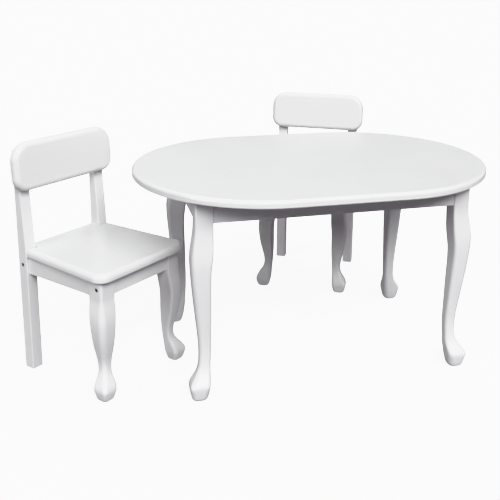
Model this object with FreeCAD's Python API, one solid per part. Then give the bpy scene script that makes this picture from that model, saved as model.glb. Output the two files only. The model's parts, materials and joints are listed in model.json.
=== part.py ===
"""Kids table with two chairs, all painted wood with cabriole legs.

Millimetres, +Z up. Each piece is built about its own furniture's centre on the floor.
The set is then moved so that the origin is the centre of its box, on the floor.
"""
import FreeCAD, Part
import math
import os

V = FreeCAD.Vector
UP = V(0, 0, 1)

# ---- Driving sizes: table ----
TABLE_HEIGHT = 512.0
TOP_LENGTH = 916.0
TOP_WIDTH = 640.0
TOP_THICKNESS = 19.0
TOP_EDGE_ROUND = 8.0          # upper edge of the table top
TOP_UNDER_ROUND = 3.5         # lower edge of the table top
LEG_INSET_X = 117.5           # from the end of the top to the leg's outer face
LEG_INSET_Y = 100.8           # from the side of the top to the leg's outer face
TABLE_BLOCK = 42.0            # square block at the head of a table leg
TABLE_APRON_HEIGHT = 57.0
TABLE_APRON_THICKNESS = 18.0
TABLE_APRON_SETBACK = 3.0     # from the block's outer face to the apron's

# ---- Driving sizes: chairs ----
CHAIR_WIDTH = 264.0           # over the outer faces of posts and front legs
POST_SIZE = 30.0
POST_TOP_HEIGHT = 566.0
POST_TOP_DEPTH = 14.0         # the front face leans back above the seat
POST_REAR_Y = 157.0           # rear face of the posts, from the chair's centre
CHAIR_BLOCK = 42.0            # square block at the head of a front leg
BLOCK_FRONT_Y = -131.0        # front face of the front legs' blocks
SEAT_HEIGHT = 322.0
SEAT_THICKNESS = 21.0
SEAT_EDGE_ROUND = 12.0
SEAT_UNDER_ROUND = 4.5
SEAT_FRONT_WIDTH = 296.0
SEAT_BACK_WIDTH = 264.0
SEAT_FRONT_OVERHANG = 17.0    # beyond the front legs' blocks
SEAT_FRONT_CORNER = 30.0
SEAT_BACK_CORNER = 7.0
SEAT_TONGUE_SETBACK = 7.0     # rear edge of the seat, inside the posts' rear face
CHAIR_APRON_HEIGHT = 45.0
CHAIR_APRON_THICKNESS = 18.0
CHAIR_APRON_SETBACK = 7.0     # from posts' and blocks' outer faces
BACKREST_WIDTH = 303.0
BACKREST_HEIGHT = 117.0
BACKREST_BOTTOM = 467.0
BACKREST_THICKNESS = 23.0
BACKREST_TOP_CORNER = 46.0
BACKREST_BOTTOM_CORNER = 33.0
BACKREST_FRONT_ROUND = 13.0
BACKREST_REAR_ROUND = 4.0

# ---- Where the chairs stand, from the table's leg faces, and how far they are turned ----
LEFT_CHAIR_GAP = 192.0        # chair's centre beyond the left legs' outer faces
LEFT_CHAIR_Y = 8.5
LEFT_CHAIR_TURN = 40.2
BACK_CHAIR_GAP = 231.0        # chair's centre beyond the back legs' outer faces
BACK_CHAIR_X = 141.0
BACK_CHAIR_TURN = -27.0

# ---- Fixings, edges and clearances ----
GLIDE_HEIGHT = 2.0
TABLE_GLIDE_RADIUS = 11.0
CHAIR_GLIDE_RADIUS = 9.0
EDGE_SOFTENING = 2.0          # small round on sawn rails and posts
HOLE_CLEARANCE = 0.15         # radial, round a screw, bolt or dowel
FIT_GAP = 0.5                 # round the posts in the seat's notches
BRACKET_SHEET = 2.0
BRACKET_HEIGHT = 40.0
BRACKET_STANDOFF = 10.0       # from the leg block's inner corner, square to the bracket
BRACKET_FLANGE = 22.0
HANGER_RADIUS = 3.0
HANGER_IN_LEG = 26.0
HANGER_TAIL = 15.0            # inside the bracket
NUT_RADIUS = 5.5
NUT_HEIGHT = 5.0
WASHER_RADIUS = 8.0
WASHER_HEIGHT = 1.5
CORNER_FLAT = 8.0             # flat planed on the block's inner corner for the bolt
CLEAT_SIZE = 18.0
CLEAT_END_GAP = 8.0           # from the cleat's end to the bracket's flange
SCREW_RADIUS = 2.0
SCREW_HEAD_RADIUS = 4.0
SCREW_HEAD_HEIGHT = 2.4
SCREW_TIP_LENGTH = 6.0
SCREW_TIP_RADIUS = 0.4
SCREW_BITE = 11.0             # into the table top, the seat or the backrest
SHORT_SCREW = 14.0
CROSS_SLOT_REACH = 2.5        # from the screw's axis to the end of a slot
CROSS_SLOT_HALF_WIDTH = 0.65
CROSS_SLOT_DEPTH = 1.4
LONG_CLEAT_SCREWS = (0.8, 0.25)   # shares of the cleat's half length
SHORT_CLEAT_SCREW = 0.7
BOLT_RADIUS = 3.0
BOLT_HEAD_RADIUS = 5.0
BOLT_HEAD_HEIGHT = 4.0
BOLT_HEAD_ROUND = 1.0
BOLT_SOCKET_RADIUS = 2.4      # over the hexagon's corners
BOLT_SOCKET_DEPTH = 2.6
BOLT_HEAD_SUNK = 1.0          # below the face of post or leg
BOLT_DROP = 22.0              # from the seat's underside to the bolt's axis
BOLT_REACH = 28.0             # from the rail's end to the barrel nut's axis
BARREL_RADIUS = 5.0
BARREL_LENGTH = 14.0
DOWEL_RADIUS = 4.0
DOWEL_LENGTH = 32.0
DOWEL_SPACING = 22.0
CORNER_BLOCK_SIDE = 60.0
CORNER_BLOCK_HEIGHT = 22.0
CORNER_SCREW_INSET = 22.0
BACKREST_SCREW_INSET = 30.0   # from the backrest's lower edge, and below the post's top
OVERRUN = 1.0                 # how far a cut starts outside the piece

# ---- Cabriole legs ----
# Upper stations run from the block down to the ankle. Each holds the share of that stretch,
# how far the outer faces stand beyond the block's, how far the inner faces lie within the
# block's, and the radii of the outer corner and of the other corners.
# Foot stations hold a height above the floor in place of the share.
# The toe's ridge is the last station of the toe and the first of the sole.
TABLE_ANKLE_HEIGHT = 100.0
TABLE_LEG_STATIONS = (
    (1.00, 0.0, 0.0, 5.0, 3.0), (0.97, 0.2, 0.0, 5.5, 3.0), (0.92, 1.9, 0.1, 7.0, 4.0),
    (0.86, 5.2, 0.4, 9.0, 5.0),
    (0.76, 10.0, 2.2, 11.0, 6.0), (0.68, 10.2, 5.0, 12.0, 7.0), (0.57, 7.9, 6.2, 12.0, 8.0),
    (0.42, 3.3, 5.4, 12.0, 8.0), (0.24, -3.2, 4.7, 11.0, 8.0), (0.00, -8.3, 5.2, 10.0, 8.0),
)
TABLE_TOE_STATIONS = (
    (76.0, -5.0, 6.4, 11.0, 9.0), (58.0, 4.0, 7.0, 12.0, 11.0), (47.0, 12.2, 8.2, 12.0, 12.0),
    (39.0, 16.5, 9.2, 11.0, 13.0),
)
TABLE_SOLE_STATIONS = (
    (39.0, 16.5, 9.2, 11.0, 13.0), (22.0, 15.0, 11.6, 13.0, 14.0), (10.0, 12.8, 14.2, 13.0, 14.0),
    (4.5, 10.4, 16.6, 12.0, 13.0), (GLIDE_HEIGHT, 7.6, 19.0, 12.0, 12.0),
)
CHAIR_ANKLE_HEIGHT = 80.0
CHAIR_LEG_STATIONS = (
    (1.00, 0.0, 0.0, 7.0, 3.0), (0.95, 0.4, 0.1, 8.0, 3.5), (0.88, 2.5, 0.6, 10.0, 4.0),
    (0.80, 5.1, 1.6, 13.0, 5.0),
    (0.68, 7.0, 3.5, 15.0, 6.0), (0.50, 5.0, 4.0, 15.0, 7.0), (0.33, 0.5, 4.0, 14.0, 7.0),
    (0.18, -5.5, 4.5, 12.0, 7.0), (0.00, -10.2, 6.0, 10.5, 7.0),
)
CHAIR_TOE_STATIONS = (
    (62.0, -7.0, 7.2, 10.0, 8.0), (48.0, 1.6, 8.0, 10.0, 9.0), (38.0, 7.8, 8.6, 9.0, 10.0),
    (30.0, 10.3, 9.3, 6.5, 11.0),
)
CHAIR_SOLE_STATIONS = (
    (30.0, 10.3, 9.3, 6.5, 11.0), (17.0, 9.2, 11.4, 8.5, 11.0), (8.0, 7.2, 13.4, 10.0, 11.0),
    (4.0, 5.2, 15.0, 10.0, 10.0), (GLIDE_HEIGHT, 2.8, 16.8, 9.0, 9.0),
)


# ---- Small helpers ----
def box(low, high):
    """Box between two corners."""
    size = V(*high) - V(*low)
    return Part.makeBox(size.x, size.y, size.z, V(*low))


def rod(start, direction, radius, length):
    """Round bar from start along direction."""
    return Part.makeCylinder(radius, length, V(*start), V(*direction))


def hexagon_bar(start, direction, across_corners, length):
    """Hexagonal bar from start along direction."""
    points = [V(across_corners * math.cos(math.radians(60 * i)),
                across_corners * math.sin(math.radians(60 * i)), 0) for i in range(7)]
    bar = Part.Face(Part.makePolygon(points)).extrude(V(0, 0, length))
    bar.Placement = FreeCAD.Placement(V(*start), FreeCAD.Rotation(UP, V(*direction)))
    return bar


def softened(shape, radius, chosen):
    """Fillet the edges that the test accepts."""
    edges = [edge for edge in shape.Edges if chosen(edge)]
    return shape.makeFillet(radius, edges)


def runs_along(edge, axis):
    """True for a straight edge along the axis."""
    if not isinstance(edge.Curve, Part.Line):
        return False
    return abs(abs(edge.tangentAt(edge.FirstParameter).dot(axis)) - 1) < 1e-6


def at_height(edge, height):
    """True for an edge that lies wholly at one height."""
    bounds = edge.BoundBox
    return abs(bounds.ZMin - height) < 1e-4 and abs(bounds.ZMax - height) < 1e-4


def in_four_corners(shape):
    """Copies of a piece from the +X +Y corner in all four corners."""
    right = [shape, shape.mirror(V(), V(0, 1, 0))]
    return right + [piece.mirror(V(), V(1, 0, 0)) for piece in right]


def on_both_sides(shape):
    """A piece and its mirror image across the YZ plane."""
    return [shape, shape.mirror(V(), V(1, 0, 0))]


def drilled(shape, fixings):
    """Cut clearance for every fixing that reaches into the shape."""
    for start, direction, length, radius, head_radius, head_height in fixings:
        hole = rod(start, direction, radius + HOLE_CLEARANCE, length + HOLE_CLEARANCE)
        if head_height:
            back = V(*start) - V(*direction).normalize() * HOLE_CLEARANCE
            hole = hole.fuse(rod(back, direction, head_radius + HOLE_CLEARANCE,
                                 head_height + 2 * HOLE_CLEARANCE))
        shape = shape.cut(hole)
    return shape


def cross_head_screw(start, direction, length):
    """Wood screw with its head's face at start and its point along direction."""
    tip_start = length - SCREW_TIP_LENGTH
    neck = SCREW_HEAD_HEIGHT / 2
    head = rod((0, 0, 0), UP, SCREW_HEAD_RADIUS, SCREW_HEAD_HEIGHT)
    shank = rod((0, 0, neck), UP, SCREW_RADIUS, tip_start - neck)
    tip = Part.makeCone(SCREW_RADIUS, SCREW_TIP_RADIUS, SCREW_TIP_LENGTH, V(0, 0, tip_start), UP)
    reach = CROSS_SLOT_REACH
    wide = CROSS_SLOT_HALF_WIDTH
    cross = box((-reach, -wide, -OVERRUN), (reach, wide, CROSS_SLOT_DEPTH))
    cross = cross.fuse(box((-wide, -reach, -OVERRUN), (wide, reach, CROSS_SLOT_DEPTH)))
    screw = head.fuse(shank).fuse(tip).cut(cross).removeSplitter()
    screw.Placement = FreeCAD.Placement(V(*start), FreeCAD.Rotation(UP, V(*direction)))
    return screw


def socket_bolt(start, direction, length):
    """Furniture bolt with a round socket head, its head's face at start."""
    head = rod((0, 0, 0), UP, BOLT_HEAD_RADIUS, BOLT_HEAD_HEIGHT)
    head = softened(head, BOLT_HEAD_ROUND, lambda edge: at_height(edge, 0))
    neck = BOLT_HEAD_HEIGHT / 2
    shank = rod((0, 0, neck), UP, BOLT_RADIUS, length - neck)
    socket = hexagon_bar((0, 0, -OVERRUN), UP, BOLT_SOCKET_RADIUS, BOLT_SOCKET_DEPTH + OVERRUN)
    bolt = head.fuse(shank).cut(socket).removeSplitter()
    bolt.Placement = FreeCAD.Placement(V(*start), FreeCAD.Rotation(UP, V(*direction)))
    return bolt


# ---- Cabriole leg ----
def leg_section(half, height, proud, inset, outer_radius, side_radius):
    """Rounded square whose +X +Y corner is the leg's outer corner, about the leg's axis."""
    high = half + proud
    low = -half + inset
    corners = ((high, high, outer_radius, 0), (low, high, side_radius, 90),
               (low, low, side_radius, 180), (high, low, side_radius, 270))
    edges = []
    ends = []
    for x, y, radius, start in corners:
        cx = x - math.copysign(radius, x - (high + low) / 2)
        cy = y - math.copysign(radius, y - (high + low) / 2)
        arc = [V(cx + radius * math.cos(math.radians(start + turn)),
                 cy + radius * math.sin(math.radians(start + turn)), height) for turn in (0, 45, 90)]
        ends.append(arc)
    for index, arc in enumerate(ends):
        edges.append(Part.Arc(*arc).toShape())
        edges.append(Part.LineSegment(arc[2], ends[(index + 1) % 4][0]).toShape())
    return Part.Wire(edges)


def cabriole_leg(block, block_bottom, block_top, ankle, upper, toe, sole):
    """Leg about its own axis, with its toe towards +X +Y."""
    half = block / 2
    stretch = block_bottom - ankle
    stations = [(ankle + share * stretch, *sizes) for share, *sizes in upper] + list(toe)
    shank = Part.makeLoft([leg_section(half, *station) for station in stations], True, False)
    foot = Part.makeLoft([leg_section(half, *station) for station in sole], True, False)
    head = Part.Face(leg_section(half, block_bottom, *upper[0][1:])).extrude(
        V(0, 0, block_top - block_bottom))
    return head.fuse(shank).fuse(foot).removeSplitter()


def foot_centre(sole):
    """Offset of the foot's middle from the leg's axis, the same along X and Y."""
    proud, inset = sole[-1][1:3]
    return (proud + inset) / 2


# ---- Table ----
def table_top():
    """Racetrack panel: two half circles joined by straight sides."""
    radius = TOP_WIDTH / 2
    straight = TOP_LENGTH / 2 - radius
    bottom = TABLE_HEIGHT - TOP_THICKNESS
    p = [V(-straight, -radius, bottom), V(straight, -radius, bottom), V(straight + radius, 0, bottom),
         V(straight, radius, bottom), V(-straight, radius, bottom), V(-straight - radius, 0, bottom)]
    outline = Part.Wire([Part.LineSegment(p[0], p[1]).toShape(), Part.Arc(p[1], p[2], p[3]).toShape(),
                         Part.LineSegment(p[3], p[4]).toShape(), Part.Arc(p[4], p[5], p[0]).toShape()])
    panel = Part.Face(outline).extrude(V(0, 0, TOP_THICKNESS))
    panel = softened(panel, TOP_EDGE_ROUND, lambda edge: at_height(edge, TABLE_HEIGHT))
    return softened(panel, TOP_UNDER_ROUND, lambda edge: at_height(edge, bottom))


def table():
    """All the table's nodes, about the middle of its footprint."""
    leg_x = TOP_LENGTH / 2 - LEG_INSET_X - TABLE_BLOCK / 2
    leg_y = TOP_WIDTH / 2 - LEG_INSET_Y - TABLE_BLOCK / 2
    top_under = TABLE_HEIGHT - TOP_THICKNESS
    apron_bottom = top_under - TABLE_APRON_HEIGHT
    inner_x = leg_x - TABLE_BLOCK / 2
    inner_y = leg_y - TABLE_BLOCK / 2
    face_x = leg_x + TABLE_BLOCK / 2 - TABLE_APRON_SETBACK
    face_y = leg_y + TABLE_BLOCK / 2 - TABLE_APRON_SETBACK
    back_x = face_x - TABLE_APRON_THICKNESS
    back_y = face_y - TABLE_APRON_THICKNESS
    bolt_height = apron_bottom + TABLE_APRON_HEIGHT / 2
    diagonal = V(1, 1, 0).normalize()

    # Hanger bolt along the corner's diagonal, through the bracket into the leg.
    corner = V(inner_x, inner_y, bolt_height)
    plate_outside = corner - diagonal * BRACKET_STANDOFF
    plate_inside = plate_outside - diagonal * BRACKET_SHEET
    bolt_start = plate_inside - diagonal * HANGER_TAIL
    bolt_length = HANGER_TAIL + BRACKET_SHEET + BRACKET_STANDOFF + HANGER_IN_LEG
    bolt_fixing = (bolt_start, diagonal, bolt_length, HANGER_RADIUS, 0, 0)
    bolt = rod(bolt_start, diagonal, HANGER_RADIUS, bolt_length)
    washer = rod(plate_inside, -diagonal, WASHER_RADIUS, WASHER_HEIGHT)
    nut = hexagon_bar(plate_inside - diagonal * WASHER_HEIGHT, -diagonal, NUT_RADIUS, NUT_HEIGHT)
    nut_bore = rod(bolt_start, diagonal, HANGER_RADIUS + HOLE_CLEARANCE, bolt_length)
    washer = washer.cut(nut_bore)
    nut = nut.cut(nut_bore)

    # Bracket: a diagonal plate with a flange on each apron.
    line = plate_outside.x + plate_outside.y
    end_x = line - back_y
    end_y = line - back_x
    low = bolt_height - BRACKET_HEIGHT / 2
    high = bolt_height + BRACKET_HEIGHT / 2
    sheet = BRACKET_SHEET
    slant = sheet * math.sqrt(2)
    outline = [V(end_x - BRACKET_FLANGE, back_y, low), V(end_x, back_y, low), V(back_x, end_y, low),
               V(back_x, end_y - BRACKET_FLANGE, low), V(back_x - sheet, end_y - BRACKET_FLANGE, low),
               V(back_x - sheet, end_y + sheet - slant, low), V(end_x + sheet - slant, back_y - sheet, low),
               V(end_x - BRACKET_FLANGE, back_y - sheet, low)]
    plate = Part.Face(Part.makePolygon(outline + outline[:1])).extrude(V(0, 0, high - low))
    flange_screws = [
        ((end_x - BRACKET_FLANGE / 2, back_y - sheet - SCREW_HEAD_HEIGHT, bolt_height), (0, 1, 0),
         SHORT_SCREW),
        ((back_x - sheet - SCREW_HEAD_HEIGHT, end_y - BRACKET_FLANGE / 2, bolt_height), (1, 0, 0),
         SHORT_SCREW)]
    flange_fixings = [(*screw, SCREW_RADIUS, 0, 0) for screw in flange_screws]
    plate = drilled(plate, [bolt_fixing] + flange_fixings)

    # Leg, with a flat on the block's inner corner where the bolt goes in.
    leg = cabriole_leg(TABLE_BLOCK, apron_bottom, top_under, TABLE_ANKLE_HEIGHT, TABLE_LEG_STATIONS,
                       TABLE_TOE_STATIONS, TABLE_SOLE_STATIONS)
    leg.translate(V(leg_x, leg_y, 0))
    out_x = inner_x - OVERRUN
    out_y = inner_y - OVERRUN
    side = math.sqrt(2) * CORNER_FLAT + 2 * OVERRUN
    wedge = [V(out_x, out_y, apron_bottom), V(out_x + side, out_y, apron_bottom),
             V(out_x, out_y + side, apron_bottom)]
    shaving = Part.Face(Part.makePolygon(wedge + wedge[:1])).extrude(V(0, 0, TABLE_APRON_HEIGHT))
    leg = drilled(leg.cut(shaving), [bolt_fixing])
    glide_offset = foot_centre(TABLE_SOLE_STATIONS)
    glide = rod((leg_x + glide_offset, leg_y + glide_offset, 0), UP, TABLE_GLIDE_RADIUS, GLIDE_HEIGHT)

    # Cleats inside the aprons' upper edges, with screws up into the top.
    cleat_low = top_under - CLEAT_SIZE
    half_long = end_x - BRACKET_FLANGE - CLEAT_END_GAP
    half_short = end_y - BRACKET_FLANGE - CLEAT_END_GAP
    long_cleat = box((-half_long, back_y - CLEAT_SIZE, cleat_low), (half_long, back_y, top_under))
    short_cleat = box((back_x - CLEAT_SIZE, -half_short, cleat_low), (back_x, half_short, top_under))
    screw_length = CLEAT_SIZE + SCREW_BITE
    top_screws = []
    spots = [(half_long * share, back_y - CLEAT_SIZE / 2) for share in LONG_CLEAT_SCREWS]
    spots.append((back_x - CLEAT_SIZE / 2, half_short * SHORT_CLEAT_SCREW))
    for x, y in spots:
        top_screws += [((sx * x, sy * y, cleat_low), (0, 0, 1), screw_length)
                       for sx in (-1, 1) for sy in (-1, 1)]
    top_fixings = [(*screw, SCREW_RADIUS, SCREW_HEAD_RADIUS, SCREW_HEAD_HEIGHT) for screw in top_screws]

    # Aprons between the legs' blocks.
    long_apron = box((-inner_x, back_y, apron_bottom), (inner_x, face_y, top_under))
    short_apron = box((back_x, -inner_y, apron_bottom), (face_x, inner_y, top_under))
    long_apron = softened(long_apron, EDGE_SOFTENING,
                          lambda edge: runs_along(edge, V(1, 0, 0)) and at_height(edge, apron_bottom))
    short_apron = softened(short_apron, EDGE_SOFTENING,
                           lambda edge: runs_along(edge, V(0, 1, 0)) and at_height(edge, apron_bottom))
    x_screw, y_screw = flange_screws
    for side in (-1, 1):
        long_apron = drilled(long_apron, [((side * x_screw[0][0], *x_screw[0][1:]), *x_screw[1:],
                                           SCREW_RADIUS, 0, 0)])
        start = y_screw[0]
        short_apron = drilled(short_apron, [((start[0], side * start[1], start[2]), *y_screw[1:],
                                             SCREW_RADIUS, 0, 0)])

    legs = in_four_corners(leg)
    nodes = {"table_top": drilled(table_top(), top_fixings)}
    nodes["table_apron_back"] = long_apron
    nodes["table_apron_front"] = long_apron.mirror(V(), V(0, 1, 0))
    nodes["table_apron_right"] = short_apron
    nodes["table_apron_left"] = short_apron.mirror(V(), V(1, 0, 0))
    for name, piece in zip(("back_right", "front_right", "back_left", "front_left"), legs):
        nodes["table_leg_" + name] = piece
    nodes["table_cleat_back"] = drilled(long_cleat, top_fixings)
    nodes["table_cleat_front"] = nodes["table_cleat_back"].mirror(V(), V(0, 1, 0))
    nodes["table_cleat_right"] = drilled(short_cleat, top_fixings)
    nodes["table_cleat_left"] = nodes["table_cleat_right"].mirror(V(), V(1, 0, 0))
    nodes["table_corner_brackets"] = Part.makeCompound(in_four_corners(plate))
    nodes["table_hanger_bolts"] = Part.makeCompound(in_four_corners(bolt))
    nodes["table_leg_nuts"] = Part.makeCompound(in_four_corners(nut) + in_four_corners(washer))
    nodes["table_bracket_screws"] = Part.makeCompound(
        [piece for screw in flange_screws for piece in in_four_corners(cross_head_screw(*screw))])
    nodes["table_top_screws"] = Part.makeCompound([cross_head_screw(*screw) for screw in top_screws])
    nodes["table_foot_glides"] = Part.makeCompound(in_four_corners(glide))
    return nodes


# ---- Chair ----
def seat_panel(post_front, notch_x, rear):
    """Seat with rounded front corners, notched round the posts, with a tongue between them."""
    bottom = SEAT_HEIGHT - SEAT_THICKNESS
    front = BLOCK_FRONT_Y - SEAT_FRONT_OVERHANG
    wide = SEAT_FRONT_WIDTH / 2
    narrow = SEAT_BACK_WIDTH / 2
    step = post_front - FIT_GAP
    corners = [V(-wide, front, bottom), V(wide, front, bottom), V(narrow, step, bottom),
               V(notch_x, step, bottom), V(notch_x, rear, bottom), V(-notch_x, rear, bottom),
               V(-notch_x, step, bottom), V(-narrow, step, bottom)]
    panel = Part.Face(Part.makePolygon(corners + corners[:1])).extrude(V(0, 0, SEAT_THICKNESS))

    def near(edge, x, y):
        middle = edge.valueAt((edge.FirstParameter + edge.LastParameter) / 2)
        return runs_along(edge, UP) and abs(abs(middle.x) - x) < 1e-3 and abs(middle.y - y) < 1e-3

    panel = softened(panel, SEAT_FRONT_CORNER, lambda edge: near(edge, wide, front))
    panel = softened(panel, SEAT_BACK_CORNER, lambda edge: near(edge, narrow, step))

    def outer(edge, height):
        in_notch = edge.BoundBox.YMin > step - 1e-3 and edge.BoundBox.YMax < rear - 1e-3
        return at_height(edge, height) and not in_notch

    panel = softened(panel, SEAT_EDGE_ROUND, lambda edge: outer(edge, SEAT_HEIGHT)
                     and edge.BoundBox.YMax < rear - 1e-3)
    panel = softened(panel, EDGE_SOFTENING, lambda edge: at_height(edge, SEAT_HEIGHT)
                     and edge.BoundBox.YMin > rear - 1e-3)
    return softened(panel, SEAT_UNDER_ROUND, lambda edge: outer(edge, bottom)
                    and edge.BoundBox.YMax < rear - 1e-3)


def backrest_board(lean, back_y):
    """Board with large rounded corners, standing on its lower edge and leaning with the posts."""
    half = BACKREST_WIDTH / 2
    tall = BACKREST_HEIGHT / math.cos(math.radians(lean))
    board = box((-half, -BACKREST_THICKNESS, 0), (half, 0, tall))
    across = V(0, 1, 0)
    board = softened(board, BACKREST_TOP_CORNER,
                     lambda edge: runs_along(edge, across) and edge.BoundBox.ZMin > tall / 2)
    board = softened(board, BACKREST_BOTTOM_CORNER,
                     lambda edge: runs_along(edge, across) and edge.BoundBox.ZMax < tall / 2)
    board = softened(board, BACKREST_FRONT_ROUND,
                     lambda edge: edge.BoundBox.YMax < -BACKREST_THICKNESS + 1e-3)
    board = softened(board, BACKREST_REAR_ROUND, lambda edge: edge.BoundBox.YMin > -1e-3)
    board.rotate(V(), V(1, 0, 0), -lean)
    board.translate(V(0, back_y, BACKREST_BOTTOM))
    return board


def chair():
    """All of a chair's nodes, about its own centre, facing -Y."""
    half = CHAIR_WIDTH / 2
    seat_under = SEAT_HEIGHT - SEAT_THICKNESS
    apron_bottom = seat_under - CHAIR_APRON_HEIGHT
    post_front = POST_REAR_Y - POST_SIZE
    post_inner = half - POST_SIZE
    block_inner = half - CHAIR_BLOCK
    block_back = BLOCK_FRONT_Y + CHAIR_BLOCK
    leg_x = half - CHAIR_BLOCK / 2
    leg_y = BLOCK_FRONT_Y + CHAIR_BLOCK / 2
    thick = CHAIR_APRON_THICKNESS
    side_inner = half - CHAIR_APRON_SETBACK - thick
    front_face = BLOCK_FRONT_Y + CHAIR_APRON_SETBACK
    rear_rail_front = POST_REAR_Y - POST_SIZE / 2 - thick / 2
    lean_run = POST_SIZE - POST_TOP_DEPTH
    lean_rise = POST_TOP_HEIGHT - SEAT_HEIGHT
    lean = math.degrees(math.atan2(lean_run, lean_rise))
    bolt_height = seat_under - BOLT_DROP

    # Rails
    rails = {
        "apron_front": box((-block_inner, front_face, apron_bottom),
                           (block_inner, front_face + thick, seat_under)),
        "apron_back": box((-post_inner, rear_rail_front, apron_bottom),
                          (post_inner, rear_rail_front + thick, seat_under)),
        "apron_right": box((side_inner, block_back, apron_bottom),
                           (side_inner + thick, post_front, seat_under)),
    }
    for name, rail in rails.items():
        along = V(0, 1, 0) if name == "apron_right" else V(1, 0, 0)
        rails[name] = softened(rail, EDGE_SOFTENING, lambda edge: runs_along(edge, along)
                               and at_height(edge, apron_bottom))

    # Post: straight below the seat, its front face leaning back above it.
    profile = [V(post_inner, post_front, GLIDE_HEIGHT), V(post_inner, POST_REAR_Y, GLIDE_HEIGHT),
               V(post_inner, POST_REAR_Y, POST_TOP_HEIGHT),
               V(post_inner, POST_REAR_Y - POST_TOP_DEPTH, POST_TOP_HEIGHT),
               V(post_inner, post_front, SEAT_HEIGHT)]
    post = Part.Face(Part.makePolygon(profile + profile[:1])).extrude(V(POST_SIZE, 0, 0))
    post = softened(post, EDGE_SOFTENING, lambda edge: edge.BoundBox.ZLength > POST_SIZE)

    # Front leg, toe towards +X -Y.
    leg = cabriole_leg(CHAIR_BLOCK, apron_bottom, seat_under, CHAIR_ANKLE_HEIGHT, CHAIR_LEG_STATIONS,
                       CHAIR_TOE_STATIONS, CHAIR_SOLE_STATIONS).mirror(V(), V(0, 1, 0))
    leg.translate(V(leg_x, leg_y, 0))

    # Bolts through post and leg into the front and back rails, each with a barrel nut.
    bolts = []
    barrels = []
    for y, rail_end in ((front_face + thick / 2, block_inner), (rear_rail_front + thick / 2, post_inner)):
        start = (half - BOLT_HEAD_SUNK, y, bolt_height)
        bolts.append((start, (-1, 0, 0), start[0] - rail_end + BOLT_REACH + BARREL_RADIUS))
        barrels.append(((rail_end - BOLT_REACH, y - BARREL_LENGTH / 2, bolt_height), (0, 1, 0),
                        BARREL_RADIUS, BARREL_LENGTH))
    sunk = OVERRUN + BOLT_HEAD_SUNK
    bolt_fixings = [((half + OVERRUN, *start[1:]), direction, length + sunk, BOLT_RADIUS,
                     BOLT_HEAD_RADIUS, BOLT_HEAD_HEIGHT + sunk)
                    for start, direction, length in bolts]

    # Dowels between the side rails and the posts and legs.
    dowels = []
    for y in (block_back, post_front):
        for height in (-DOWEL_SPACING / 2, DOWEL_SPACING / 2):
            dowels.append(((side_inner + thick / 2, y - DOWEL_LENGTH / 2,
                            seat_under - CHAIR_APRON_HEIGHT / 2 + height), (0, 1, 0), DOWEL_LENGTH))
    dowel_fixings = [((x, y - OVERRUN, z), direction, length + 2 * OVERRUN, DOWEL_RADIUS, 0, 0)
                     for (x, y, z), direction, length in dowels]

    # Glue blocks in the corners, notched round the leg or post, with screws up into the seat.
    blocks = []
    seat_screws = []
    block_low = seat_under - CORNER_BLOCK_HEIGHT
    for rail_inner, leg_inner_x, leg_inner_y, inward in (
            (front_face + thick, block_inner, block_back, 1),
            (rear_rail_front, post_inner, post_front, -1)):
        side = CORNER_BLOCK_SIDE
        outline = [V(side_inner, leg_inner_y, block_low), V(leg_inner_x, leg_inner_y, block_low),
                   V(leg_inner_x, rail_inner, block_low), V(side_inner - side, rail_inner, block_low),
                   V(side_inner, rail_inner + inward * side, block_low)]
        if abs(leg_inner_x - side_inner) < 1e-6:
            outline = outline[1:]
        blocks.append(Part.Face(Part.makePolygon(outline + outline[:1])).extrude(
            V(0, 0, CORNER_BLOCK_HEIGHT)))
        seat_screws.append(((side_inner - CORNER_SCREW_INSET, rail_inner + inward * CORNER_SCREW_INSET,
                             block_low), (0, 0, 1), CORNER_BLOCK_HEIGHT + SCREW_BITE))
    seat_fixings = [(*screw, SCREW_RADIUS, SCREW_HEAD_RADIUS, SCREW_HEAD_HEIGHT)
                    for screw in seat_screws]

    # Screws from behind, through the posts into the backrest, square to its leaning face.
    inward = V(0, -math.cos(math.radians(lean)), math.sin(math.radians(lean)))
    back_screws = []
    for height in (BACKREST_BOTTOM + BACKREST_SCREW_INSET, POST_TOP_HEIGHT - BACKREST_SCREW_INSET):
        face_y = post_front + (height - SEAT_HEIGHT) * lean_run / lean_rise
        depth = (POST_REAR_Y - face_y) / math.cos(math.radians(lean))
        start = V(half - POST_SIZE / 2, POST_REAR_Y, height - math.tan(math.radians(lean)) * depth)
        back_screws.append((start, inward, depth + SCREW_BITE))
    back_fixings = [(start - direction * OVERRUN, direction, length + OVERRUN, SCREW_RADIUS,
                     SCREW_HEAD_RADIUS, SCREW_HEAD_HEIGHT + OVERRUN)
                    for start, direction, length in back_screws]

    backrest_y = post_front + (BACKREST_BOTTOM - SEAT_HEIGHT) * lean_run / lean_rise
    seat = seat_panel(post_front, post_inner - FIT_GAP, POST_REAR_Y - SEAT_TONGUE_SETBACK)
    backrest = backrest_board(lean, backrest_y)
    for mirror in (1, -1):
        seat = drilled(seat, [((mirror * s[0], s[1], s[2]), *rest) for s, *rest in seat_fixings])
        backrest = drilled(backrest, [(V(mirror * s.x, s.y, s.z), *rest) for s, *rest in back_fixings])
        for name in ("apron_front", "apron_back"):
            rails[name] = drilled(rails[name], [((mirror * s[0], s[1], s[2]), (-mirror, 0, 0), *rest)
                                                for s, direction, *rest in bolt_fixings])
            for (x, y, z), direction, radius, length in barrels:
                slot = rod((mirror * x, y, z), direction, radius + HOLE_CLEARANCE, length)
                rails[name] = rails[name].cut(slot)

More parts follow.
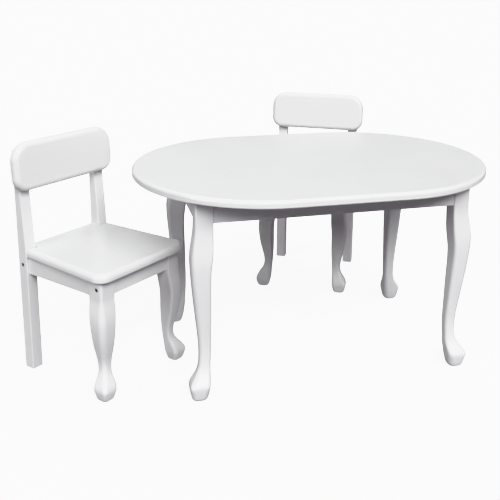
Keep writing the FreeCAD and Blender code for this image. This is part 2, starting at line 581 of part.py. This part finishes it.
    barrel_pieces = []
    for start, direction, radius, length in barrels:
        barrel = rod(start, direction, radius, length)
        barrel_pieces += on_both_sides(drilled(barrel, bolt_fixings))
    front_foot = foot_centre(CHAIR_SOLE_STATIONS)
    glides = [rod((leg_x + front_foot, leg_y - front_foot, 0), UP, CHAIR_GLIDE_RADIUS, GLIDE_HEIGHT),
              rod((half - POST_SIZE / 2, POST_REAR_Y - POST_SIZE / 2, 0), UP, CHAIR_GLIDE_RADIUS,
                  GLIDE_HEIGHT)]
    post = drilled(post, bolt_fixings + dowel_fixings + back_fixings)
    leg = drilled(leg, bolt_fixings + dowel_fixings)
    side_rail = drilled(rails["apron_right"], dowel_fixings)

    def group(pieces):
        return Part.makeCompound([copy for piece in pieces for copy in on_both_sides(piece)])

    return {
        "seat": seat,
        "backrest": backrest,
        "post_right": post,
        "post_left": post.mirror(V(), V(1, 0, 0)),
        "front_leg_right": leg,
        "front_leg_left": leg.mirror(V(), V(1, 0, 0)),
        "apron_front": rails["apron_front"],
        "apron_back": rails["apron_back"],
        "apron_right": side_rail,
        "apron_left": side_rail.mirror(V(), V(1, 0, 0)),
        "corner_blocks": group([drilled(block, seat_fixings) for block in blocks]),
        "frame_bolts": group([socket_bolt(*bolt) for bolt in bolts]),
        "barrel_nuts": Part.makeCompound(barrel_pieces),
        "rail_dowels": group([rod(start, direction, DOWEL_RADIUS, length)
                              for start, direction, length in dowels]),
        "seat_screws": group([cross_head_screw(*screw) for screw in seat_screws]),
        "backrest_screws": group([cross_head_screw(*screw) for screw in back_screws]),
        "foot_glides": group(glides),
    }


# ---- The set ----
def main():
    """Build every node, move the set to its frame and write one file for each."""
    nodes = table()
    places = {
        "chair_left": (-(TOP_LENGTH / 2 - LEG_INSET_X) - LEFT_CHAIR_GAP, LEFT_CHAIR_Y, LEFT_CHAIR_TURN),
        "chair_back": (BACK_CHAIR_X, TOP_WIDTH / 2 - LEG_INSET_Y + BACK_CHAIR_GAP, BACK_CHAIR_TURN),
    }
    pieces = chair()
    for name, (x, y, turn) in places.items():
        for piece, shape in pieces.items():
            placed = shape.copy()
            placed.rotate(V(), UP, turn)
            placed.translate(V(x, y, 0))
            nodes[name + "_" + piece] = placed
    bounds = Part.makeCompound(list(nodes.values())).optimalBoundingBox()
    shift = V(-bounds.Center.x, -bounds.Center.y, -bounds.ZMin)
    os.makedirs("parts", exist_ok=True)
    for name, shape in nodes.items():
        shape.translate(shift)
        shape.exportStep("parts/" + name + ".step")
    print(f"{len(nodes)} nodes, box {bounds.XLength:.2f} x {bounds.YLength:.2f} x {bounds.ZLength:.2f}")
    print(f"table centre {shift.x:.3f} {shift.y:.3f}, surface at {TABLE_HEIGHT}")
    for name, (x, y, turn) in places.items():
        angle = math.radians(turn)
        print(f"{name} centre {x + shift.x:.3f} {y + shift.y:.3f}, "
              f"faces {math.sin(angle):.5f} {-math.cos(angle):.5f}")


main()
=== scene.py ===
"""Looks for the kids table and two chairs: satin white paint, bare wood inside, steel fixings."""
import bpy
import json
import math
from mathutils import Matrix, Vector

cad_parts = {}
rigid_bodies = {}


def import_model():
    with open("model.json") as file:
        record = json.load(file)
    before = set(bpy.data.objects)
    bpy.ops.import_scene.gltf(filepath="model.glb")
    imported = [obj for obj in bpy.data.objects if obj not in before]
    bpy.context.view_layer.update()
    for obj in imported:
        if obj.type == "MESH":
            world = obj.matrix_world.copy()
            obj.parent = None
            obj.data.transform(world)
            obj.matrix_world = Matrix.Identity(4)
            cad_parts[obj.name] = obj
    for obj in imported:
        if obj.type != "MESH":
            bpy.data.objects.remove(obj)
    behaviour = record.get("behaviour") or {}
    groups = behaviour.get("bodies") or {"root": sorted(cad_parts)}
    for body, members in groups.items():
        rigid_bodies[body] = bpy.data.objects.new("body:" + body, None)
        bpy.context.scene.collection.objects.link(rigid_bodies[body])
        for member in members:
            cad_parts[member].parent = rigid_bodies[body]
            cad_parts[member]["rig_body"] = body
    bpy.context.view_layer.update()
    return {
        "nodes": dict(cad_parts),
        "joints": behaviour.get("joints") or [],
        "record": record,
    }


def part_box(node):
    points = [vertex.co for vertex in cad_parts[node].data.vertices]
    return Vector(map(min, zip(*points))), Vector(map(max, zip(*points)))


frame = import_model()
nodes = frame["nodes"]

# ---- Camera: a three-quarter view from the front left, about a metre up ----
CAMERA_FROM_TABLE = Vector((-0.6022, -1.8471, 1.0158))   # from the table's centre on the floor
CAMERA_YAW = 16.15            # degrees to the right of +Y
CAMERA_PITCH = 13.82          # degrees below the horizon
CAMERA_ROLL = 1.06
CAMERA_LENS = 55.83
CAMERA_SENSOR = 36.0
CAMERA_SHIFT = (-0.074, -0.20)
VIEW_TRANSFORM = "Khronos PBR Neutral"

# ---- Light: broad lamps as (degrees to the right of the front, degrees up, degrees across, strength) ----
LAMPS = {
    "key": (0.0, 38.0, 25.0, 1.75),
    "fill_left": (-60.0, 31.0, 26.0, 1.30),
    "fill_right": (25.0, 44.0, 32.0, 1.75),
    "side_right": (90.0, 50.0, 40.0, 0.52),
    "back": (180.0, 50.0, 40.0, 0.95),
}
GLOW_ABOVE = (0.03, 0.03, 0.03)
GLOW_BELOW = (0.246, 0.229, 0.252)
HORIZON_BLEND = 0.05          # height over which one glow turns into the other
BACKDROP = (1.0, 1.0, 1.0)
BACKDROP_STRENGTH = 2.0
FLOOR_SIZE = 200.0

# ---- Colours, gloss and grain ----
PAINT_DEEP = (0.788, 0.788, 0.788)       # the paint clouds slightly between these two
PAINT_PALE = (0.800, 0.808, 0.808)
PAINT_GRAIN_SHADE = (0.975, 0.975, 0.975)   # painted shade: share of the paint's colour left in the grain's hollows, darkening them as if shaded
PAINT_IOR = 1.47
PAINT_COAT = 0.12
PAINT_COAT_ROUGHNESS = 0.18
PAINT_STRETCH = 14.0                     # how many times longer than wide the grain is
BARE_WOOD_LIGHT = (0.66, 0.52, 0.36)
BARE_WOOD_DARK = (0.52, 0.38, 0.24)
BARE_WOOD_STRETCH = 9.0
RING_BEND = 0.06                         # share of noise in the growth rings' place
STEELS = {                               # dark and light colour, least and most roughness
    "zinc_steel": ((0.50, 0.51, 0.53), (0.62, 0.63, 0.65), 0.26, 0.44),
    "dark_steel": ((0.20, 0.20, 0.22), (0.32, 0.32, 0.34), 0.34, 0.52),
}
NYLON_DARK = (0.62, 0.61, 0.57)
NYLON_LIGHT = (0.74, 0.73, 0.70)
FLOOR_DEEP = (0.9154, 0.9154, 0.9154)
FLOOR_PALE = (0.92, 0.92, 0.92)
FLOOR_ROUGHNESS = 0.9
FLOOR_SHEEN = 0.1
FLOOR_GLOW = 1.2                         # keeps the paper near white where the set shades it


# ---- Node helpers ----
def node_maker(tree):
    """Empty a node tree and return the function that adds nodes to it."""
    tree.nodes.clear()

    def add(kind, inputs=None, **settings):
        """New node. Each input is linked to another node's output or set to a value."""
        node = tree.nodes.new("ShaderNode" + kind)
        for key, value in settings.items():
            setattr(node, key, value)
        for key, value in (inputs or {}).items():
            if isinstance(value, bpy.types.NodeSocket):
                tree.links.new(value, node.inputs[key])
            else:
                node.inputs[key].default_value = value
        return node

    return add


def new_material(name):
    """Material with an empty tree, and the function that adds nodes to it."""
    material = bpy.data.materials.new(name)
    material.use_nodes = True
    return material, node_maker(material.node_tree)


def finish_surface(add, inputs):
    """Principled shader with the given inputs, as the material's surface."""
    shader = add("BsdfPrincipled", inputs)
    add("OutputMaterial", {"Surface": shader.outputs["BSDF"]})


def object_place(add):
    """Coordinates that stay with the object."""
    return add("TexCoord").outputs["Object"]


def along_grain(add, place, turn, axis, stretch):
    """Coordinates turned with the furniture and stretched along the grain."""
    turned = add("Mapping", {"Vector": place, "Rotation": (0, 0, math.radians(turn))},
                 vector_type="TEXTURE")
    scale = [1.0, 1.0, 1.0]
    scale["XYZ".index(axis)] = 1.0 / stretch
    return add("Mapping", {"Vector": turned.outputs["Vector"], "Scale": scale}).outputs["Vector"]


def noise(add, place, **inputs):
    """Noise texture with the given inputs."""
    return add("TexNoise", {"Vector": place, **inputs})


def mix(add, factor, first, second, blend="MIX"):
    """Two colours mixed. The sockets of a Mix node share names, so they go by number."""
    node = add("Mix", {0: factor, 6: first, 7: second}, data_type="RGBA", blend_type=blend)
    return node.outputs[2]


def ramp(add, source, low, high):
    """Colour that runs from one (position, colour) stop to another."""
    node = add("ValToRGB", {"Fac": source})
    for element, (position, colour) in zip(node.color_ramp.elements, (low, high)):
        element.position = position
        element.color = (*colour, 1)
    return node.outputs["Color"]


def span(add, source, low, high):
    """A 0 to 1 value spread over another range."""
    return add("MapRange", {"Value": source, "To Min": low, "To Max": high}).outputs["Result"]


def relief(add, height, strength, distance, over=None):
    """Bump from a height, over another one if it is given."""
    inputs = {"Height": height, "Strength": strength, "Distance": distance}
    if over:
        inputs["Normal"] = over
    return add("Bump", inputs).outputs["Normal"]


# ---- Materials ----
def painted_wood(name, turn, axis):
    """Sprayed satin white over solid wood: the grain shows through as a faint relief, with painted shade
    darkening its hollows.
    """
    material, add = new_material(name)
    place = object_place(add)
    grain = along_grain(add, place, turn, axis, PAINT_STRETCH)
    figure = noise(add, grain, Scale=42.0, Detail=6.0, Roughness=0.62, Distortion=0.35).outputs["Fac"]
    pores = noise(add, grain, Scale=520.0, Detail=3.0, Roughness=0.6).outputs["Fac"]
    spray = noise(add, place, Scale=620.0, Detail=2.0, Roughness=0.5).outputs["Fac"]
    clouds = noise(add, place, Scale=7.0, Detail=3.0, Roughness=0.5).outputs["Fac"]
    tint = mix(add, clouds, (*PAINT_DEEP, 1), (*PAINT_PALE, 1))
    # painted shade: the base colour is darkened in the grain's hollows, following the same figure as the
    # bump
    shade = ramp(add, figure, (0.25, PAINT_GRAIN_SHADE), (0.7, (1, 1, 1)))
    wood = relief(add, figure, strength=0.18, distance=0.0005)
    filled = relief(add, pores, strength=0.12, distance=0.00012, over=wood)
    finish_surface(add, {
        "Base Color": mix(add, 1.0, tint, shade, "MULTIPLY"),
        "Roughness": span(add, clouds, 0.27, 0.40),
        "Normal": relief(add, spray, strength=0.10, distance=0.00015, over=filled),
        "IOR": PAINT_IOR,
        "Coat Weight": PAINT_COAT,
        "Coat Roughness": PAINT_COAT_ROUGHNESS,
    })
    return material


def bare_wood(name, turn, axis):
    """Planed pale softwood with growth rings, for the parts under seat and top."""
    material, add = new_material(name)
    grain = along_grain(add, object_place(add), turn, axis, BARE_WOOD_STRETCH)
    bend = noise(add, grain, Scale=14.0, Detail=3.0).outputs["Color"]
    rings = add("TexWave", {"Vector": mix(add, RING_BEND, grain, bend), "Scale": 38.0,
                            "Distortion": 2.2, "Detail": 2.0}, wave_type="RINGS").outputs["Fac"]
    pores = noise(add, grain, Scale=700.0, Detail=2.0).outputs["Fac"]
    finish_surface(add, {
        "Base Color": ramp(add, rings, (0.1, BARE_WOOD_LIGHT), (0.95, BARE_WOOD_DARK)),
        "Roughness": span(add, pores, 0.55, 0.75),
        "Normal": relief(add, pores, strength=0.35, distance=0.0002),
    })
    return material


def steel(name, dark, light, least_rough, most_rough):
    """Plated or blackened steel with fine scratches."""
    material, add = new_material(name)
    place = object_place(add)
    mottled = noise(add, place, Scale=260.0, Detail=4.0).outputs["Fac"]
    scratches = noise(add, place, Scale=2200.0, Detail=2.0).outputs["Fac"]
    finish_surface(add, {
        "Base Color": ramp(add, mottled, (0.3, dark), (0.7, light)),
        "Roughness": span(add, scratches, least_rough, most_rough),
        "Normal": relief(add, scratches, strength=0.15, distance=0.0001),
        "Metallic": 1.0,
    })
    return material


def nylon(name):
    """Moulded off-white nylon, scuffed by the floor."""
    material, add = new_material(name)
    scuff = noise(add, object_place(add), Scale=180.0, Detail=4.0).outputs["Fac"]
    finish_surface(add, {
        "Base Color": ramp(add, scuff, (0.3, NYLON_DARK), (0.6, NYLON_LIGHT)),
        "Roughness": span(add, scuff, 0.45, 0.62),
    })
    return material


def floor_paper(name):
    """Matt white studio floor."""
    material, add = new_material(name)
    tone = noise(add, object_place(add), Scale=0.6, Detail=2.0).outputs["Fac"]
    finish_surface(add, {
        "Base Color": ramp(add, tone, (0.3, FLOOR_DEEP), (0.7, FLOOR_PALE)),
        "Roughness": FLOOR_ROUGHNESS,
        "Specular IOR Level": FLOOR_SHEEN,
        "Emission Color": (1, 1, 1, 1),
        "Emission Strength": FLOOR_GLOW,
    })
    return material


# ---- Which way the grain runs in each piece ----
def facing(body):
    """Degrees that a chair is turned about Z, from the way its joint slides."""
    for joint in frame["joints"]:
        if joint["child"] == body:
            return math.degrees(math.atan2(joint["axis"][0], -joint["axis"][1]))
    return 0.0


def grain_axis(name):
    """Axis of the furniture's own frame along which a piece is cut."""
    if "leg_" in name or "post_" in name:
        return "Z"
    if name.endswith(("apron_left", "apron_right", "cleat_left", "cleat_right", "seat")):
        return "Y"
    return "X"


def make_material(slot, name, turn, axis):
    """Material for one of the record's slots."""
    if slot == "white_paint":
        return painted_wood(name, turn, axis)
    if slot == "bare_wood":
        return bare_wood(name, turn, axis)
    if slot == "nylon_glide":
        return nylon(name)
    return steel(name, *STEELS[slot])


def dress():
    """Give every CAD node its material. Wood has one for each body and direction of grain."""
    slots = {part["node"]: part["material_slot"] for part in frame["record"]["subparts"]}
    made = {}
    for node, piece in nodes.items():
        name = slots[node]
        body = piece["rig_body"]
        axis = grain_axis(node)
        if name in ("white_paint", "bare_wood"):
            name = "_".join((name, body, axis))
        if name not in made:
            made[name] = make_material(slots[node], name, facing(body), axis)
        if not piece.material_slots:
            piece.data.materials.append(made[name])
        for holder in piece.material_slots:
            holder.material = made[name]


# ---- Stage ----
def make_floor():
    """Large flat floor under the glides."""
    mesh = bpy.data.meshes.new("floor")
    half = FLOOR_SIZE / 2
    corners = [(-half, -half, 0), (half, -half, 0), (half, half, 0), (-half, half, 0)]
    mesh.from_pydata(corners, [], [(0, 1, 2, 3)])
    floor = bpy.data.objects.new("floor", mesh)
    bpy.context.scene.collection.objects.link(floor)
    mesh.materials.append(floor_paper("floor_paper"))
    floor.visible_diffuse = False
    floor.visible_glossy = False


def make_backdrop():
    """Weak glow from all round, and a plain white backdrop that only the camera sees."""
    world = bpy.data.worlds.new("studio")
    world.use_nodes = True
    bpy.context.scene.world = world
    add = node_maker(world.node_tree)
    direction = add("TexCoord").outputs["Generated"]
    height = add("SeparateXYZ", {"Vector": direction}).outputs["Z"]
    glow = add("Background", {"Color": ramp(add, height, (0.0, GLOW_BELOW), (HORIZON_BLEND, GLOW_ABOVE))})
    backdrop = add("Background", {"Color": (*BACKDROP, 1), "Strength": BACKDROP_STRENGTH})
    rays = add("LightPath").outputs["Is Camera Ray"]
    seen = add("MixShader", {"Fac": rays, 1: glow.outputs["Background"], 2: backdrop.outputs["Background"]})
    add("OutputWorld", {"Surface": seen.outputs["Shader"]})


def make_lamps():
    """Broad distant lamps round the set."""
    for name, (around, up, across, strength) in LAMPS.items():
        light = bpy.data.lights.new(name, "SUN")
        light.energy = strength
        light.angle = math.radians(across)
        lamp = bpy.data.objects.new(name, light)
        turn = math.radians(around)
        rise = math.radians(up)
        towards = Vector((math.sin(turn) * math.cos(rise), -math.cos(turn) * math.cos(rise), math.sin(rise)))
        lamp.rotation_mode = "QUATERNION"
        lamp.rotation_quaternion = towards.to_track_quat("Z", "Y")
        bpy.context.scene.collection.objects.link(lamp)


def make_camera():
    """Camera placed from the table's centre."""
    low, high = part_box("table_top")
    centre = Vector(((low.x + high.x) / 2, (low.y + high.y) / 2, 0))
    data = bpy.data.cameras.new("camera")
    data.lens = CAMERA_LENS
    data.sensor_width = CAMERA_SENSOR
    data.shift_x, data.shift_y = CAMERA_SHIFT
    camera = bpy.data.objects.new("camera", data)
    yaw, pitch, roll = (math.radians(angle) for angle in (CAMERA_YAW, CAMERA_PITCH, CAMERA_ROLL))
    forward = Vector((math.sin(yaw) * math.cos(pitch), math.cos(yaw) * math.cos(pitch), -math.sin(pitch)))
    right = Vector((math.cos(yaw), -math.sin(yaw), 0))
    up = right.cross(forward)
    rolled_right = right * math.cos(roll) + up * math.sin(roll)
    rolled_up = up * math.cos(roll) - right * math.sin(roll)
    axes = Matrix((rolled_right, rolled_up, -forward)).transposed()
    camera.matrix_world = Matrix.Translation(centre + CAMERA_FROM_TABLE) @ axes.to_4x4()
    bpy.context.scene.collection.objects.link(camera)
    bpy.context.scene.camera = camera


dress()
make_floor()
make_backdrop()
make_lamps()
make_camera()
bpy.context.scene.view_settings.view_transform = VIEW_TRANSFORM
